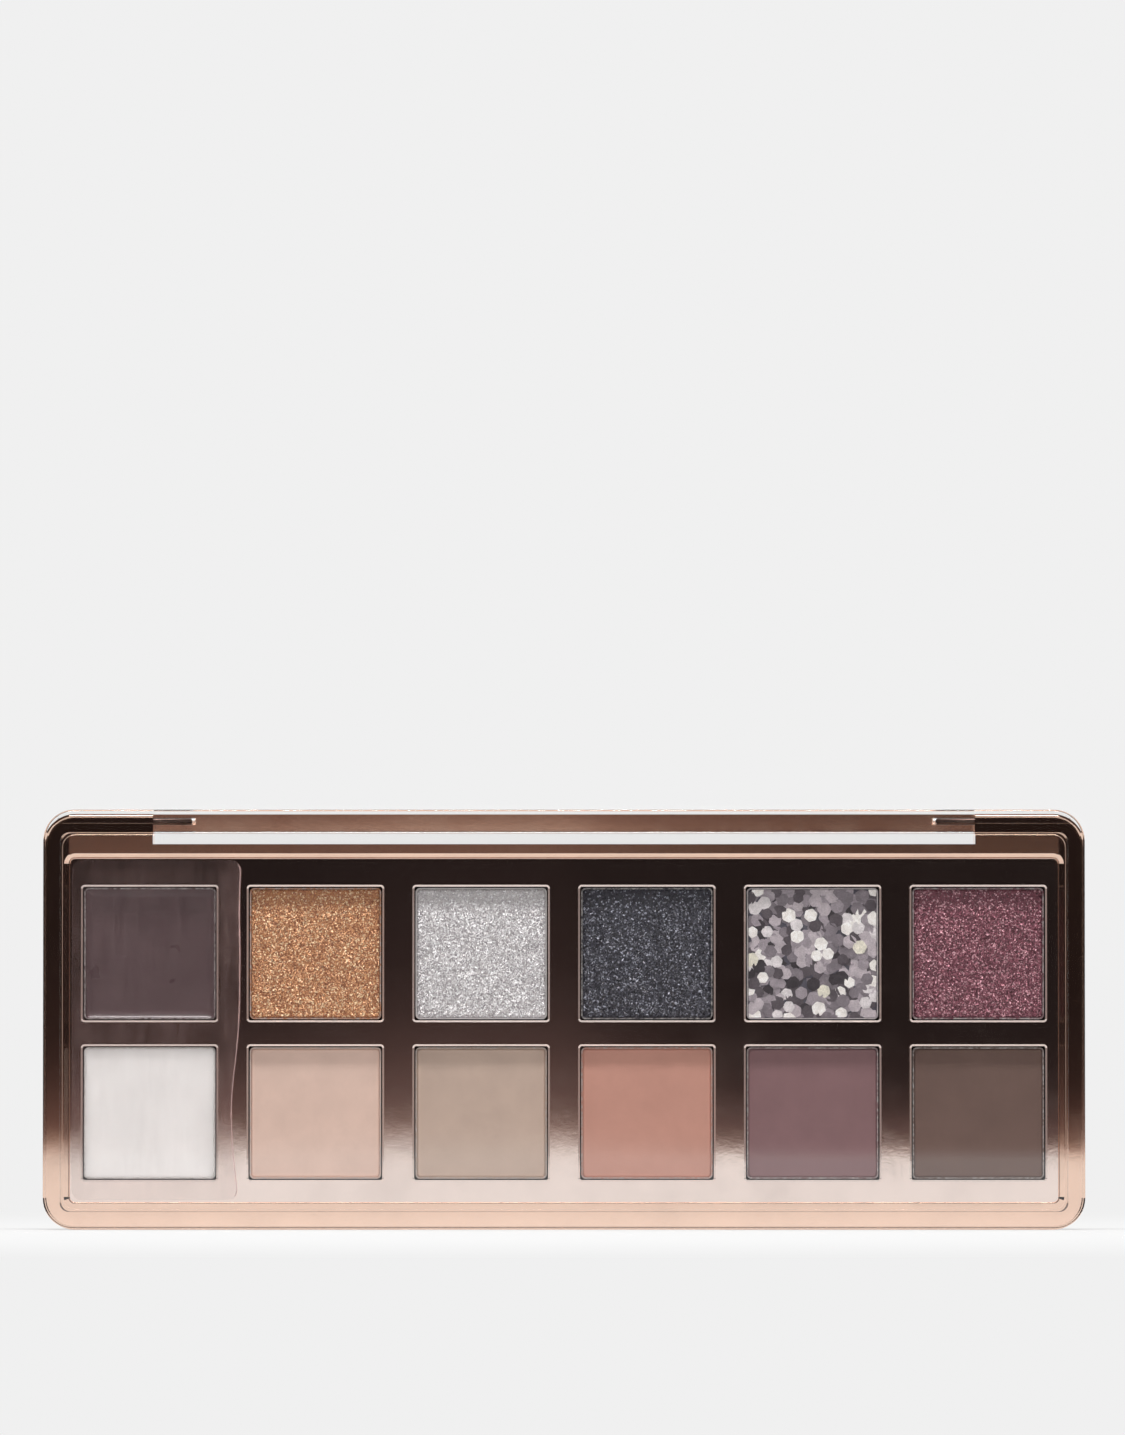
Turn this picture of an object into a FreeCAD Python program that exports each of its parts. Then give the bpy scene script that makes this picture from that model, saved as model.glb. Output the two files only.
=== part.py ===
import FreeCAD, Part
import math
import os
import Sketcher

# Eyeshadow palette with two rows of six square pans under a clear hinged lid.
# The case stands on its front edge: X along its length, Z up to the hinge,
# and the lid faces -Y. Depths are counted from the underside, which faces +Y.

COLUMNS = 6
ROWS = 2

# How far a cutting profile runs past the solid that it cuts.
OVERSHOOT = 1.0

# How far the cutter of a shallow bevel runs on past the bevel, as a share of it.
BEVEL_RUN_ON = 0.5

# Driving dimensions in millimetres, and one angle in degrees.
DIMENSIONS = {
    # Pans, their cakes and the wells that hold them
    "pan_size": 20.9,
    "pan_depth": 3.35,
    "pan_wall": 0.2,
    "pan_corner": 0.7,
    "pan_clearance": 0.2,
    "cake_drop": 0.2,
    "cake_edge": 0.35,
    "glue_radius": 4.0,
    "glue_thickness": 0.15,
    "well_wall": 0.8,
    "well_floor": 0.9,
    "well_corner": 0.3,
    "well_bevel_width": 0.29,
    "well_bevel_depth": 0.169,
    # Platform that carries the wells
    "column_gap": 5.1,
    "row_gap": 4.1,
    "side_margin": 2.19,
    "front_margin": 3.69,
    "rear_margin": 4.65,
    "rim_recess": 0.7,
    "plate_thickness": 1.2,
    "plate_corner": 1.0,
    "plate_edge": 0.2,
    "seat_clearance": 0.06,
    # Base frame
    "corner_radius": 5.1,
    "outer_wall": 1.5,
    "back_edge": 0.8,
    "flange_edge": 0.6,
    "flange_thickness": 1.3,
    "ledge_width": 0.85,
    "coaming_wall": 1.0,
    "coaming_rise": 1.5,
    "coaming_proud": 0.8,
    "coaming_edge": 0.1,
    "coaming_bevel_width": 0.7,
    "coaming_bevel_depth": 0.3,
    "rear_wall": 2.04,
    "rear_lean": 0.056,
    "rear_drop": 0.6,
    "recess_width": 52.0,
    "recess_height": 0.3,
    "recess_depth": 3.0,
    "recess_slope": 1.5,
    # Cover that closes the underside
    "cover_thickness": 1.2,
    "cover_clearance": 0.1,
    "lip_wall": 1.0,
    "rib_height": 1.9,
    "rib_width": 1.4,
    "label_length": 92.0,
    "label_height": 34.0,
    "label_depth": 0.15,
    # Clear lid
    "lid_panel": 1.6,
    "lid_side_wall": 2.65,
    "lid_front_wall": 2.75,
    "lid_inset": 0.15,
    "lid_clearance": 0.3,
    "lid_lift": 0.2,
    "lid_edge": 0.3,
    "foot_edge": 0.2,
    "lid_inner_corner": 1.5,
    "air_gap": 1.4,
    # Hinge
    "barrel_radius": 1.8,
    "barrel_back": 1.3,
    "barrel_end_gap": 0.25,
    "ear_length": 17.5,
    "slot_height": 1.85,
    "ear_relief": 0.6,
    "relief_drop": 0.3,
    "stop_clearance": 0.25,
    "rail_lean": 0.069,
    "pin_radius": 0.5,
    "pin_clearance": 0.05,
    "pin_reach": 6.0,
    "pin_inset": 2.2,
    "bore_spare": 0.4,
    "lid_travel": 115.0,
    # Protective film over the first column
    "film_thickness": 0.12,
    "film_inset": 0.25,
    "film_overlap": 3.86,
    "film_corner": 1.7,
}

doc = FreeCAD.newDocument("eyeshadow_palette")
sheet = doc.addObject("Spreadsheet::Sheet", "dims")
for row_number, (alias, value) in enumerate(DIMENSIONS.items(), start=1):
    sheet.set(f"A{row_number}", str(value))
    sheet.setAlias(f"A{row_number}", alias)
doc.recompute()

# Lengths that follow from the driving dimensions, as formulas of the sheet.
well_opening = "(dims.pan_size + 2 * dims.pan_clearance)"
column_pitch = f"({well_opening} + dims.column_gap)"
row_pitch = f"({well_opening} + dims.row_gap)"
pan_inside = "(dims.pan_size - 2 * dims.pan_wall)"
inside_corner = "max(dims.pan_corner - dims.pan_wall; dims.pan_corner / 4)"
ear_radius = "(dims.barrel_radius + dims.lid_inset)"

# Half lengths along X, from the platform outwards.
platform_half = (
    f"(({COLUMNS} * {well_opening} + {COLUMNS - 1} * dims.column_gap) / 2 + dims.side_margin)"
)
seat_half = f"({platform_half} + dims.seat_clearance)"
coaming_half = f"({seat_half} + dims.coaming_wall)"
lid_inside_half = f"({coaming_half} + dims.lid_clearance)"
lid_half = f"({lid_inside_half} + dims.lid_side_wall)"
case_half = f"({lid_half} + dims.lid_inset)"
ear_inside = f"({case_half} - dims.ear_length)"
barrel_half = f"({ear_inside} - dims.barrel_end_gap)"

# Heights along Z, from the front edge that the case stands on up to the hinge.
lid_front = "dims.lid_inset"
lid_inside_front = f"({lid_front} + dims.lid_front_wall)"
coaming_front = f"({lid_inside_front} + dims.lid_clearance)"
seat_front = f"({coaming_front} + dims.coaming_wall)"
platform_front = f"({seat_front} + dims.seat_clearance)"
platform_rear = (
    f"({platform_front} + {ROWS} * {well_opening} + {ROWS - 1} * dims.row_gap"
    " + dims.front_margin + dims.rear_margin)"
)
seat_rear = f"({platform_rear} + dims.seat_clearance)"
slot_front = f"({seat_rear} + dims.rear_wall)"
slot_rear = f"({slot_front} + dims.slot_height)"
coaming_rear = f"({slot_rear} - dims.lid_clearance)"
axis_height = f"({slot_rear} + dims.barrel_radius)"
lid_rear = f"({axis_height} + dims.barrel_radius)"
case_rear = f"({lid_rear} - dims.rear_drop)"

# Depths from the underside towards the lid.
floor_back = "(dims.cover_thickness + dims.rib_height)"
floor_front = f"({floor_back} + dims.well_floor)"
pan_back = f"({floor_front} + dims.glue_thickness)"
pan_rim = f"({pan_back} + dims.pan_depth)"
platform_face = f"({pan_rim} + dims.rim_recess)"
plate_back = f"({platform_face} - dims.plate_thickness)"
coaming_top = f"({platform_face} + dims.coaming_proud)"
flange_front = f"({coaming_top} - dims.coaming_rise)"
flange_back = f"({flange_front} - dims.flange_thickness)"
lid_foot = f"({flange_front} + dims.lid_lift)"
lid_inside = f"({coaming_top} + dims.air_gap)"
lid_face = f"({lid_inside} + dims.lid_panel)"
axis_depth = f"({flange_front} - {ear_radius})"


def place_y(depth):
    """Y of a depth: the case is centred on Y = 0, with its underside at the +Y end."""
    return f"({lid_face} / 2 - {depth})"


def column_x(column):
    return f"({column - (COLUMNS - 1) / 2} * {column_pitch})"


def row_z(row):
    """Height of a row's centre: row 0 is the lower one, next to the front edge."""
    return f"({platform_front} + dims.front_margin + {well_opening} / 2 + {row} * {row_pitch})"


def number(formula):
    return float(sheet.evalExpression(formula))


# Sketching and feature helpers.


def new_body(label):
    body = doc.addObject("PartDesign::Body", label)
    body.Label = label
    return body


def new_sketch(body, name, role, offset=None):
    """A sketch on one of the body's own origin planes, shifted along its normal."""
    plane = next(feature for feature in body.Origin.OriginFeatures if feature.Role == role)
    sketch = body.newObject("Sketcher::SketchObject", name)
    sketch.AttachmentSupport = [(plane, "")]
    sketch.MapMode = "FlatFace"
    if offset is not None:
        sketch.setExpression("AttachmentOffset.Base.z", offset)
    return sketch


def bind(sketch, constraint, formula):
    """Adds a sizing constraint and ties it to a formula of the sheet."""
    index = sketch.addConstraint(constraint)
    sketch.renameConstraint(index, f"size_{index}")
    sketch.setExpression(f"Constraints.size_{index}", formula)


def front_sketch(body, name, depth):
    """A sketch in X and Z at a depth of the case; what is padded grows towards the lid."""
    return new_sketch(body, name, "XZ_Plane", f"{depth} - {lid_face} / 2")


def draw_rounded(sketch, left, right, low, high, radius):
    """Draws a rectangle with equal rounded corners."""
    x0, x1, z0, z1, r = (number(formula) for formula in (left, right, low, high, radius))
    lines = [
        ((x0 + r, z0), (x1 - r, z0)),
        ((x1, z0 + r), (x1, z1 - r)),
        ((x1 - r, z1), (x0 + r, z1)),
        ((x0, z1 - r), (x0, z0 + r)),
    ]
    centres = [(x1 - r, z0 + r), (x1 - r, z1 - r), (x0 + r, z1 - r), (x0 + r, z0 + r)]
    line_ids = []
    arc_ids = []
    for corner, (start, end) in enumerate(lines):
        line = Part.LineSegment(FreeCAD.Vector(*start, 0), FreeCAD.Vector(*end, 0))
        line_ids.append(sketch.addGeometry(line))
        circle = Part.Circle(FreeCAD.Vector(*centres[corner], 0), FreeCAD.Vector(0, 0, 1), r)
        first_angle = (corner - 1) * math.pi / 2
        arc_ids.append(sketch.addGeometry(Part.ArcOfCircle(circle, first_angle, first_angle + math.pi / 2)))
    for corner in range(4):
        following = line_ids[(corner + 1) % 4]
        sketch.addConstraint(Sketcher.Constraint("Tangent", line_ids[corner], 2, arc_ids[corner], 1))
        sketch.addConstraint(Sketcher.Constraint("Tangent", arc_ids[corner], 2, following, 1))
        direction = "Horizontal" if corner % 2 == 0 else "Vertical"
        sketch.addConstraint(Sketcher.Constraint(direction, line_ids[corner]))
    for arc in arc_ids[1:]:
        sketch.addConstraint(Sketcher.Constraint("Equal", arc_ids[0], arc))
    bind(sketch, Sketcher.Constraint("Radius", arc_ids[0], r), radius)
    bind(sketch, Sketcher.Constraint("DistanceY", -1, 1, line_ids[0], 1, z0), low)
    bind(sketch, Sketcher.Constraint("DistanceX", -1, 1, line_ids[1], 1, x1), right)
    bind(sketch, Sketcher.Constraint("DistanceY", -1, 1, line_ids[2], 1, z1), high)
    bind(sketch, Sketcher.Constraint("DistanceX", -1, 1, line_ids[3], 1, x0), left)


def draw_square(sketch, size, radius):
    """Draws a square with rounded corners about the sketch's origin."""
    draw_rounded(sketch, f"-{size} / 2", f"{size} / 2", f"-{size} / 2", f"{size} / 2", radius)


def draw_profile(sketch, corners, arcs):
    """Draws a closed profile through corners given as formulas.

    arcs maps a corner's number to the centre and radius of the arc that leaves that corner.
    """
    points = [(number(first), number(second)) for first, second in corners]
    count = len(points)
    ids = []
    starts = []
    ends = []
    for index in range(count):
        start = points[index]
        end = points[(index + 1) % count]
        if index not in arcs:
            line = Part.LineSegment(FreeCAD.Vector(*start, 0), FreeCAD.Vector(*end, 0))
            ids.append(sketch.addGeometry(line))
            starts.append(1)
            ends.append(2)
            continue
        centre_first, centre_second, radius, turns_left = arcs[index]
        centre = FreeCAD.Vector(number(centre_first), number(centre_second), 0)
        angles = [math.atan2(point[1] - centre.y, point[0] - centre.x) for point in (start, end)]
        if not turns_left:
            angles.reverse()
        if angles[1] < angles[0]:
            angles[1] += 2 * math.pi
        circle = Part.Circle(centre, FreeCAD.Vector(0, 0, 1), number(radius))
        ids.append(sketch.addGeometry(Part.ArcOfCircle(circle, angles[0], angles[1])))
        starts.append(1 if turns_left else 2)
        ends.append(2 if turns_left else 1)
    for index in range(count):
        following = (index + 1) % count
        sketch.addConstraint(
            Sketcher.Constraint("Coincident", ids[index], ends[index], ids[following], starts[following])
        )
    for index, (first, second) in enumerate(corners):
        place = points[index]
        bind(sketch, Sketcher.Constraint("DistanceX", -1, 1, ids[index], starts[index], place[0]), first)
        bind(sketch, Sketcher.Constraint("DistanceY", -1, 1, ids[index], starts[index], place[1]), second)
        if index in arcs:
            radius = arcs[index][2]
            bind(sketch, Sketcher.Constraint("Radius", ids[index], number(radius)), radius)


def draw_circle(sketch, first, second, radius):
    centre = FreeCAD.Vector(number(first), number(second), 0)
    circle = sketch.addGeometry(Part.Circle(centre, FreeCAD.Vector(0, 0, 1), number(radius)))
    bind(sketch, Sketcher.Constraint("DistanceX", -1, 1, circle, 3, centre.x), first)
    bind(sketch, Sketcher.Constraint("DistanceY", -1, 1, circle, 3, centre.y), second)
    bind(sketch, Sketcher.Constraint("Radius", circle, number(radius)), radius)


def extrude(body, kind, sketch, length, symmetric=False):
    """Pads or pockets a sketch. A pocket has to take material away."""
    before = body.Shape.Volume if kind == "Pocket" else None
    feature = body.newObject(f"PartDesign::{kind}", f"{sketch.Name}_{kind.lower()}")
    feature.Profile = sketch
    feature.setExpression("Length", length)
    if symmetric:
        feature.SideType = "Symmetric"
    body.Tip = feature
    doc.recompute()
    if kind == "Pocket" and body.Shape.Volume >= before:
        raise RuntimeError(f"{feature.Name} cuts nothing")
    return feature


def pad_plate(body, name, outline, low, high):
    """Adds a rounded plate between two depths."""
    sketch = front_sketch(body, name, low)
    draw_rounded(sketch, *outline)
    return extrude(body, "Pad", sketch, f"{high} - {low}")


def cut_plate(body, name, outline, low, high):
    """Cuts a rounded plate between two depths out of the body."""
    sketch = front_sketch(body, name, high)
    draw_rounded(sketch, *outline)
    return extrude(body, "Pocket", sketch, f"{high} - {low}")


def cut_bevel(body, name, outline, top, width, depth):
    """Cuts a shallow bevel round an opening whose mouth lies at the depth top.

    outline(outwards) is the opening's outline, widened by a length. The cutter runs on inside
    the opening at the same slope.
    """
    upper = front_sketch(body, f"{name}_top", top)
    draw_rounded(upper, *outline(width))
    lower = front_sketch(body, f"{name}_foot", f"({top} - {1 + BEVEL_RUN_ON} * {depth})")
    draw_rounded(lower, *outline(f"(-{BEVEL_RUN_ON} * {width})"))
    feature = body.newObject("PartDesign::SubtractiveLoft", f"{name}_cut")
    feature.Profile = upper
    feature.Sections = [lower]
    feature.Ruled = True
    body.Tip = feature
    doc.recompute()
    return feature


def round_edges(body, radius, chosen):
    """Rounds those of the body's edges for which chosen(edge) is true."""
    base = body.Tip
    names = [f"Edge{n}" for n, edge in enumerate(base.Shape.Edges, start=1) if chosen(edge)]
    feature = body.newObject("PartDesign::Fillet", f"{base.Name}_fillet")
    feature.Base = (base, names)
    feature.setExpression("Radius", radius)
    body.Tip = feature
    doc.recompute()
    return feature


def lies_at(depth):
    """A test for edges that lie wholly at one depth of the case."""
    y = number(place_y(depth))
    tolerance = 1e-4

    def test(edge):
        return abs(edge.BoundBox.YMin - y) < tolerance and abs(edge.BoundBox.YMax - y) < tolerance

    return test


def well_pattern(body, original):
    """Repeats a feature of the first well over all columns and rows."""
    feature = body.newObject("PartDesign::LinearPattern", f"{original.Name}_pattern")
    feature.Originals = [original]
    feature.Direction = (original.Profile[0], ["H_Axis"])
    feature.setExpression("Length", f"{COLUMNS - 1} * {column_pitch}")
    feature.Occurrences = COLUMNS
    feature.Direction2 = (original.Profile[0], ["V_Axis"])
    feature.setExpression("Length2", f"{ROWS - 1} * {row_pitch}")
    feature.Occurrences2 = ROWS
    body.Tip = feature
    doc.recompute()
    return feature


def mirrored(outline_half, low, high, radius):
    """Outline that is even about X = 0."""
    return (f"-{outline_half}", outline_half, low, high, radius)


# Hinge profile. The lid turns about axis_y, axis_height by lid_travel degrees. The face of the rail
# stands so far behind the axis that the open lid, leaning back past square, just clears its top.
axis_y = place_y(axis_depth)
past_square = "((dims.lid_travel - 90) * 1 deg)"
rail_reach = (
    f"((dims.barrel_radius + dims.stop_clearance + ({case_rear} - {axis_height}) * sin({past_square}))"
    f" / cos({past_square}))"
)
rail_face = f"({axis_y} + {rail_reach})"


def make_base_frame():
    """Metallised outer frame: wall, flange, coaming round the platform, hinge ears and rail."""
    body = new_body("base_frame")
    pad_plate(
        body, "frame_block", mirrored(case_half, "0", case_rear, "dims.corner_radius"), "0", flange_front
    )
    round_edges(body, "dims.back_edge", lies_at("0"))
    round_edges(body, "dims.flange_edge", lies_at(flange_front))
    cut_plate(
        body,
        "frame_cavity",
        mirrored(
            f"({case_half} - dims.outer_wall)",
            "dims.outer_wall",
            seat_rear,
            "(dims.corner_radius - dims.outer_wall)",
        ),
        f"-{OVERSHOOT}",
        flange_back,
    )
    pad_plate(
        body,
        "coaming_block",
        mirrored(coaming_half, coaming_front, coaming_rear, "(dims.plate_corner + dims.coaming_wall)"),
        flange_front,
        coaming_top,
    )
    cut_plate(
        body,
        "platform_seat",
        mirrored(seat_half, seat_front, seat_rear, "(dims.plate_corner + dims.seat_clearance)"),
        plate_back,
        coaming_top,
    )
    bevel_coaming(body)
    round_coaming(body)
    lean_rear_coaming(body)
    cut_plate(
        body,
        "ledge_window",
        mirrored(
            f"({seat_half} - dims.ledge_width)",
            f"({seat_front} + dims.ledge_width)",
            f"({seat_rear} - dims.ledge_width)",
            "dims.plate_corner",
        ),
        flange_back,
        plate_back,
    )
    cut_hinge_bay(body)
    sketch = new_sketch(body, "ear_bores", "YZ_Plane")
    draw_circle(sketch, axis_y, axis_height, "dims.pin_radius")
    extrude(body, "Pocket", sketch, f"2 * {case_half}", symmetric=True)
    cut_thumb_recess(body)
    return body


def bevel_coaming(body):
    """Slopes the inner edge of the coaming down towards the platform."""

    def outline(outwards):
        return mirrored(
            f"({seat_half} + {outwards})",
            f"({seat_front} - {outwards})",
            f"({seat_rear} + {outwards})",
            f"(dims.plate_corner + dims.seat_clearance + {outwards})",
        )

    cut_bevel(
        body, "coaming_bevel", outline, coaming_top, "dims.coaming_bevel_width", "dims.coaming_bevel_depth"
    )


def round_coaming(body):
    """Rounds the outer edge of the coaming."""
    tolerance = 1e-4
    at_top = lies_at(coaming_top)

    def faces_outwards(edge):
        box = edge.BoundBox
        return at_top(edge) and (
            box.XMax > number(coaming_half) - tolerance
            or box.XMin < -number(coaming_half) + tolerance
            or box.ZMin < number(coaming_front) + tolerance
            or box.ZMax > number(coaming_rear) - tolerance
        )

    round_edges(body, "dims.coaming_edge", faces_outwards)


def lean_rear_coaming(body):
    """Lets the broad rear part of the coaming fall back a little towards the platform."""
    top = place_y(coaming_top)
    outside = f"({top} - {OVERSHOOT})"
    low = f"({seat_rear} + dims.coaming_bevel_width / 2)"
    high = f"({coaming_rear} - 2 * dims.coaming_edge)"
    corners = [(outside, low), (f"({top} + dims.rear_lean)", low), (top, high), (outside, high)]
    sketch = new_sketch(body, "rear_lean", "YZ_Plane")
    draw_profile(sketch, corners, {})
    extrude(body, "Pocket", sketch, f"2 * {seat_half}", symmetric=True)


def cut_hinge_bay(body):
    """Opens the bay for the lid's barrel between the ears, and the slot below it.

    What is left behind the barrel is the rail, whose face leans a little over the slot.
    """
    outside = f"({place_y(coaming_top)} - {OVERSHOOT})"
    behind = f"({place_y('0')} + {OVERSHOOT})"
    above = f"({case_rear} + {OVERSHOOT})"
    corners = [
        (outside, slot_front),
        (behind, slot_front),
        (behind, slot_rear),
        (f"({rail_face} + dims.rail_lean)", slot_rear),
        (rail_face, case_rear),
        (rail_face, above),
        (outside, above),
    ]
    sketch = new_sketch(body, "hinge_bay", "YZ_Plane")
    draw_profile(sketch, corners, {})
    extrude(body, "Pocket", sketch, f"2 * {ear_inside}", symmetric=True)


def cut_thumb_recess(body):
    """Wide, low recess in the front edge, where a thumb gets under the lid."""
    half = "(dims.recess_width / 2)"
    inner = f"({half} - dims.recess_slope)"
    corners = [
        (half, "0"),
        (inner, "dims.recess_height"),
        (f"-{inner}", "dims.recess_height"),
        (f"-{half}", "0"),
    ]
    sketch = front_sketch(body, "thumb_recess", flange_front)
    draw_profile(sketch, corners, {})
    extrude(body, "Pocket", sketch, "dims.recess_depth")


def make_bottom_cover():
    """Plate that closes the underside, with a lip inside the frame and ribs under the wells."""
    body = new_body("bottom_cover")
    half = f"({case_half} - dims.outer_wall - dims.cover_clearance)"
    low = "(dims.outer_wall + dims.cover_clearance)"
    high = f"({seat_rear} - dims.cover_clearance)"
    radius = "(dims.corner_radius - dims.outer_wall - dims.cover_clearance)"
    pad_plate(body, "cover_block", mirrored(half, low, high, radius), "0", floor_back)
    cut_plate(
        body,
        "cover_hollow",
        mirrored(
            f"({half} - dims.lip_wall)",
            f"({low} + dims.lip_wall)",
            f"({high} - dims.lip_wall)",
            f"({radius} - dims.lip_wall)",
        ),
        "dims.cover_thickness",
        floor_back,
    )
    for row in range(ROWS):
        pad_plate(
            body,
            f"cover_rib_{row}",
            mirrored(
                f"({half} - dims.lip_wall / 2)",
                f"({row_z(row)} - dims.rib_width / 2)",
                f"({row_z(row)} + dims.rib_width / 2)",
                "(dims.rib_width / 4)",
            ),
            "(dims.cover_thickness / 2)",
            floor_back,
        )
    middle = f"(({low} + {high}) / 2)"
    cut_plate(
        body,
        "label_recess",
        mirrored(
            "(dims.label_length / 2)",
            f"({middle} - dims.label_height / 2)",
            f"({middle} + dims.label_height / 2)",
            "dims.plate_corner",
        ),
        f"-{OVERSHOOT}",
        "dims.label_depth",
    )
    return body


def make_pan_platform():
    """Metallised insert: a plate with a walled well for each pan."""
    body = new_body("pan_platform")
    pad_plate(
        body,
        "platform_plate",
        mirrored(platform_half, platform_front, platform_rear, "dims.plate_corner"),
        plate_back,
        platform_face,
    )
    round_edges(body, "dims.plate_edge", lies_at(platform_face))
    outside = f"({well_opening} + 2 * dims.well_wall)"
    first_x = column_x(0)
    first_z = row_z(0)

    def well_outline(size, radius):
        return (
            f"({first_x} - {size} / 2)",
            f"({first_x} + {size} / 2)",
            f"({first_z} - {size} / 2)",
            f"({first_z} + {size} / 2)",
            radius,
        )

    box = pad_plate(
        body,
        "well_box",
        well_outline(outside, "(dims.well_corner + dims.well_wall)"),
        floor_back,
        f"({plate_back} + dims.plate_thickness / 2)",
    )
    well_pattern(body, box)
    opening = cut_plate(
        body, "well_opening", well_outline(well_opening, "dims.well_corner"), floor_front, platform_face
    )
    well_pattern(body, opening)

    def mouth(outwards):
        corner = f"max(dims.well_corner + {outwards}; dims.well_corner / 4)"
        return well_outline(f"({well_opening} + 2 * {outwards})", corner)

    bevel = cut_bevel(
        body, "well_bevel", mouth, platform_face, "dims.well_bevel_width", "dims.well_bevel_depth"
    )
    well_pattern(body, bevel)
    return body


def make_pan(label, column, row):
    """Drawn aluminium godet, open towards the lid."""
    body = new_body(label)
    outer = new_sketch(body, f"{label}_outside", "XZ_Plane")
    draw_square(outer, "dims.pan_size", "dims.pan_corner")
    extrude(body, "Pad", outer, "dims.pan_depth")
    inner = new_sketch(body, f"{label}_inside", "XZ_Plane", "dims.pan_depth")
    draw_square(inner, pan_inside, inside_corner)
    extrude(body, "Pocket", inner, "(dims.pan_depth - dims.pan_wall)")
    place(body, column_x(column), pan_back, row_z(row))
    return body


def make_cake(label, column, row):
    """Pressed powder cake that fills its pan to just below the rim."""
    body = new_body(label)
    sketch = new_sketch(body, f"{label}_outline", "XZ_Plane", "dims.pan_wall")
    draw_square(sketch, pan_inside, inside_corner)
    top = "(dims.pan_depth - dims.cake_drop)"
    extrude(body, "Pad", sketch, f"{top} - dims.pan_wall")
    top_y = -number(top)
    tolerance = 1e-4
    round_edges(
        body,
        "min(dims.cake_edge; (dims.pan_depth - dims.cake_drop - dims.pan_wall) / 2)",
        lambda edge: edge.BoundBox.YMax < top_y + tolerance,
    )
    place(body, column_x(column), pan_back, row_z(row))
    return body


def place(body, x, depth, z):
    body.setExpression("Placement.Base.x", x)
    body.setExpression("Placement.Base.y", place_y(depth))
    body.setExpression("Placement.Base.z", z)


def make_pan_glue():
    """One dot of hot melt between each pan and the floor of its well."""
    dots = []
    toward_lid = FreeCAD.Rotation(FreeCAD.Vector(1, 0, 0), 90)
    for row in range(ROWS):
        for column in range(COLUMNS):
            dot = doc.addObject("Part::Cylinder", f"glue_dot_{row}_{column}")
            dot.setExpression("Radius", "dims.glue_radius")
            dot.setExpression("Height", "dims.glue_thickness")
            dot.Placement = FreeCAD.Placement(FreeCAD.Vector(), toward_lid)
            place(dot, column_x(column), floor_front, row_z(row))
            dots.append(dot)
    group = doc.addObject("Part::Compound", "pan_glue")
    group.Label = "pan_glue"
    group.Links = dots
    return group


def make_lid():
    """Clear moulded lid with a solid hinge barrel along its rear edge.

    Its rear corners are relieved over the ears, so that they turn past them.
    """
    body = new_body("lid")
    pad_plate(
        body,
        "lid_block",
        mirrored(lid_half, lid_front, lid_rear, "(dims.corner_radius - dims.lid_inset)"),
        lid_foot,
        lid_face,
    )
    round_edges(body, "dims.lid_edge", lies_at(lid_face))
    round_edges(body, "dims.foot_edge", lies_at(lid_foot))
    cut_plate(
        body,
        "lid_hollow",
        mirrored(lid_inside_half, lid_inside_front, slot_rear, "dims.lid_inner_corner"),
        f"({lid_foot} - {OVERSHOOT})",
        lid_inside,
    )
    outside = f"({place_y(lid_foot)} + {OVERSHOOT})"
    relief_y = f"({place_y(lid_foot)} - dims.ear_relief)"
    relief_low = f"({axis_height} - dims.relief_drop)"
    above = f"({lid_rear} + {OVERSHOOT})"
    relief = new_sketch(body, "ear_relief", "YZ_Plane")
    relief_corners = [(relief_y, relief_low), (outside, relief_low), (outside, above), (relief_y, above)]
    draw_profile(relief, relief_corners, {})
    extrude(body, "Pocket", relief, f"2 * ({lid_half} + {OVERSHOOT})", symmetric=True)
    root_y = f"({place_y(lid_foot)} - dims.lid_panel)"
    back_y = f"({axis_y} + dims.barrel_back)"
    round_y = f"({back_y} - dims.lid_edge)"
    round_low = f"({slot_rear} + dims.lid_edge)"
    round_high = f"({lid_rear} - dims.lid_edge)"
    corners = [
        (root_y, slot_rear),
        (round_y, slot_rear),
        (back_y, round_low),
        (back_y, round_high),
        (round_y, lid_rear),
        (root_y, lid_rear),
    ]
    arcs = {1: (round_y, round_low, "dims.lid_edge", True), 3: (round_y, round_high, "dims.lid_edge", True)}
    barrel = new_sketch(body, "lid_barrel", "YZ_Plane")
    draw_profile(barrel, corners, arcs)
    extrude(body, "Pad", barrel, f"2 * {barrel_half}", symmetric=True)
    bore_depth = "(dims.pin_reach + dims.bore_spare)"
    for side, sign in (("right", 1), ("left", -1)):
        mouth = f"({barrel_half} - {bore_depth} / 2)"
        sketch = new_sketch(body, f"pin_bore_{side}", "YZ_Plane", f"{sign} * {mouth}")
        draw_circle(sketch, axis_y, axis_height, "(dims.pin_radius + dims.pin_clearance)")
        extrude(body, "Pocket", sketch, bore_depth, symmetric=True)
    return body


def make_hinge_pin(label, sign):
    """Steel pin pressed into an ear, with its inner end running in the lid's barrel."""
    inner = f"({barrel_half} - dims.pin_reach)"
    outer = f"({case_half} - dims.pin_inset)"
    pin = doc.addObject("Part::Cylinder", label)
    pin.Label = label
    pin.setExpression("Radius", "dims.pin_radius")
    pin.setExpression("Height", f"{outer} - {inner}")
    pin.Placement = FreeCAD.Placement(
        FreeCAD.Vector(), FreeCAD.Rotation(FreeCAD.Vector(0, 1, 0), sign * 90)
    )
    place(pin, f"{sign} * {inner}", axis_depth, axis_height)
    return pin


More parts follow.
